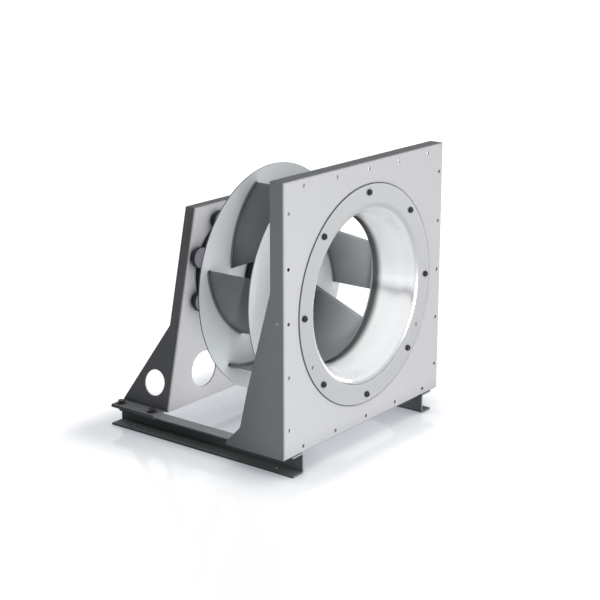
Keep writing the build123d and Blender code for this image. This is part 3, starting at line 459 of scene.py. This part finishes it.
# Weld beads at the blades' feet. Each blade is an arc of CAMBER_R between ROOT_R and TIP_R.
BLADES = 6
TIP_R, ROOT_R = 0.252, 0.171
CAMBER_R, CAMBER_CENTRE_R = 0.227, 0.0892
BLADE_T = 0.003
FIRST_BLADE = radians(-75.8)
WELD_T = 0.0021
WELD_INSET = WELD_T * 0.35
WELD_STEPS = 46
RIPPLE = 0.0003


def far_angle(a, b, c):
    """Angle of a triangle between its sides a and b, across from c."""
    return acos((a * a + b * b - c * c) / (2 * a * b))


def round_axis(radius, angle):
    """A point at this radius round the fan's axis, the angle counted from straight up."""
    return Vector((radius * sin(angle), 0, AXIS_Z + radius * cos(angle)))


def angle_about(centre, point):
    return atan2(point.z - centre.z, point.x - centre.x)


def ripple(bead, centre, start_angle, sweep):
    """Thins every second ring of the bead, as the weld pool leaves it."""
    for vertex in bead.data.vertices:
        ring = round((angle_about(centre, vertex.co) - start_angle) / sweep * WELD_STEPS)
        vertex.select = ring % 2 == 0
    bpy.ops.object.mode_set(mode="EDIT")
    bpy.ops.transform.shrink_fatten(value=-RIPPLE)
    bpy.ops.object.mode_set(mode="OBJECT")


def turned_copy(bead, angle):
    select_only([bead])
    bpy.ops.object.duplicate()
    twin = bpy.context.object
    bpy.ops.object.mode_set(mode="EDIT")
    bpy.ops.mesh.select_all(action="SELECT")
    bpy.ops.transform.rotate(value=angle, orient_axis="Y", center_override=(0, 0, AXIS_Z))
    bpy.ops.object.mode_set(mode="OBJECT")
    return twin


def weld_beads():
    """Ripples of weld along both sides of every blade where it stands on the hub disc."""
    centre_angle = FIRST_BLADE + far_angle(TIP_R, CAMBER_CENTRE_R, CAMBER_R)
    centre = round_axis(CAMBER_CENTRE_R, centre_angle)
    toward = angle_about(centre, round_axis(TIP_R, FIRST_BLADE))
    sweep = (far_angle(CAMBER_R, CAMBER_CENTRE_R, TIP_R)
             - far_angle(CAMBER_R, CAMBER_CENTRE_R, ROOT_R))
    beads = []
    for side, offset in (("in", -1), ("out", 1)):
        reach = CAMBER_R + offset * (BLADE_T / 2 + WELD_INSET)
        start = (centre.x + reach * cos(toward), DISC_FACE_Y - WELD_INSET,
                 centre.z + reach * sin(toward))
        beads.append(spin_bead("weld_" + side, start, toward, WELD_T, centre, sweep, WELD_STEPS))
        ripple(beads[-1], centre, toward, sweep)
    first = list(beads)
    for number in range(1, BLADES):
        beads += [turned_copy(bead, number * 2 * pi / BLADES) for bead in first]
    select_only(beads)
    bpy.ops.object.join()
    beads[0].name = "blade_welds"
    smooth_over(beads[0])
    return beads[0]


welds = weld_beads()
welds.data.materials.append(spun("weld_coat", (0.30, 0.31, 0.32), roughness=0.45, rings=500.0,
                                 contrast=0.1, reach=0.05, crease_shade=0.85, gloss=0.1, bump=0.1))
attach(welds, "impeller")


# Floor and background

WHITE = (1.0, 1.0, 1.0, 1.0)
FLOOR_SIZE = 60.0
FLOOR_Z = -0.0005
FLOOR_GLOW = 0.93
MIRRORED_SHARE = 0.78
FRONT_STRETCH = 1.35
SHADOW_HALO_IN, SHADOW_HALO_OUT = 0.02, 0.17
SHADE_REACH = 0.3


def past(tree, value, limit):
    """How far a value lies outside plus or minus the limit, and 0 within it."""
    return larger(tree, minus(tree, calc(tree, "ABSOLUTE", value), limit), 0.0)


def build_floor_look():
    """Pale glossy floor with painted shadow, darker under the fan and in a narrow halo round its
    rails.
    """
    material = bpy.data.materials.new("studio_floor")
    material.use_nodes = True
    tree, shader, (x, y, _) = opened(material)
    shader.inputs["Base Color"].default_value = (0.25, 0.26, 0.28, 1.0)
    shader.inputs["Roughness"].default_value = 0.10
    shader.inputs["Specular IOR Level"].default_value = 0.25
    open_sky = tree.nodes.new("ShaderNodeAmbientOcclusion")
    open_sky.samples = 12
    open_sky.inputs["Distance"].default_value = SHADE_REACH
    openness = spread(tree, open_sky.outputs["AO"], 0.30, 0.82, 0.38, 1.0)
    before = times(tree, past(tree, y, HALF_LENGTH), FRONT_STRETCH)
    away = hypotenuse(tree, past(tree, x, HALF_WIDTH), before)
    # Painted shadow: the halo round the rails is deeper towards the back.
    halo_shadow_level = spread(tree, y, -0.30, 0.25, 0.95, 0.62)
    lit = times(tree, openness, spread(tree, away, SHADOW_HALO_IN, SHADOW_HALO_OUT, halo_shadow_level, 1.0, soft=True))
    rays = tree.nodes.new("ShaderNodeLightPath")
    mirrored = larger(tree, rays.outputs["Is Glossy Ray"], rays.outputs["Is Transmission Ray"])
    seen = larger(tree, rays.outputs["Is Camera Ray"], times(tree, mirrored, MIRRORED_SHARE))
    # The painted shadow is tinted bluish.
    colour = blend_colour(tree, lit, (0.82, 0.88, 1.0, 1.0), WHITE)
    strength = times(tree, times(tree, seen, lit), FLOOR_GLOW)
    tree.links.new(colour, shader.inputs["Emission Color"])
    tree.links.new(strength, shader.inputs["Emission Strength"])
    return material


bpy.ops.object.select_all(action="DESELECT")
bpy.ops.mesh.primitive_plane_add(size=FLOOR_SIZE, location=(0, 0, FLOOR_Z))
floor = bpy.context.object
floor.name = "studio_floor"
bpy.ops.object.transform_apply(location=True, rotation=True, scale=True)
floor.data.materials.append(build_floor_look())

SKY_GLOW = 0.23
SKY_COLOUR = (0.93, 1.0, 1.04, 1.0)
HORIZON_Z = 0.02


def build_world():
    """White where it is seen, with a dark horizon in mirroring metal, and a weak glow from above
    as its light."""
    world = bpy.data.worlds.new("studio")
    world.use_nodes = True
    tree = world.node_tree
    backdrop = tree.nodes["Background"]
    rays = tree.nodes.new("ShaderNodeLightPath").outputs
    seen = larger(tree, rays["Is Camera Ray"], rays["Is Glossy Ray"])
    seen = larger(tree, seen, rays["Is Transmission Ray"])
    direction = tree.nodes.new("ShaderNodeTexCoord").outputs["Generated"]
    height = axes(tree, direction)[2]
    above = larger(tree, height, 0.0)
    glow = times(tree, times(tree, above, above), SKY_GLOW)
    from_horizon = calc(tree, "ABSOLUTE", minus(tree, height, HORIZON_Z))
    bright = spread(tree, from_horizon, 0.04, 0.11, 0.0, 1.0)
    bright = larger(tree, rays["Is Camera Ray"], bright)
    unseen = times(tree, minus(tree, 1.0, seen), glow)
    strength = plus(tree, times(tree, seen, bright), unseen)
    tree.links.new(strength, backdrop.inputs["Strength"])
    tree.links.new(blend_colour(tree, seen, SKY_COLOUR, WHITE), backdrop.inputs["Color"])
    return world


bpy.context.scene.world = build_world()


# Lamps

def sun(name, towards, strength, angle):
    """Even light from one side, without shadows, as a large far softbox gives."""
    bpy.ops.object.light_add(type="SUN", rotation=aim(towards))
    lamp = bpy.context.object
    lamp.name = name
    lamp.data.energy = strength
    lamp.data.angle = radians(angle)
    lamp.data.use_shadow = False


def near_lamp(name, kind, place, towards, power, size):
    """A lamp beside the fan that polished metal doesn't mirror."""
    bpy.ops.object.light_add(type=kind, location=place, rotation=aim(towards))
    lamp = bpy.context.object
    lamp.name = name
    lamp.data.energy = power
    lamp.data.shadow_soft_size = size
    lamp.visible_glossy = False
    return lamp


sun("key_light", (-0.10, 1.0, 0.0), 2.20, 20.0)
sun("back_light", (-0.25, -1.0, 0.0), 1.35, 30.0)
sun("right_light", (-1.0, 0.0, 0.0), 0.95, 30.0)

# The cone's edge passes between the front gussets and the rear support's side, which stays dark.
left_spot = near_lamp("left_spot", "SPOT", (-1.3, -1.5, 0.30), (1.0, -0.079, 0.0), 19.5, 0.06)
left_spot.data.spot_size = radians(120.0)
left_spot.data.spot_blend = 0.06
left_spot.data.color = (0.92, 1.0, 1.04)

INLET = (0.05, PANEL_FACE_Y + 0.002, AXIS_Z - 0.03)
near_lamp("inlet_bulb", "POINT", INLET, (0.0, 0.0, -1.0), 0.40, 0.03)
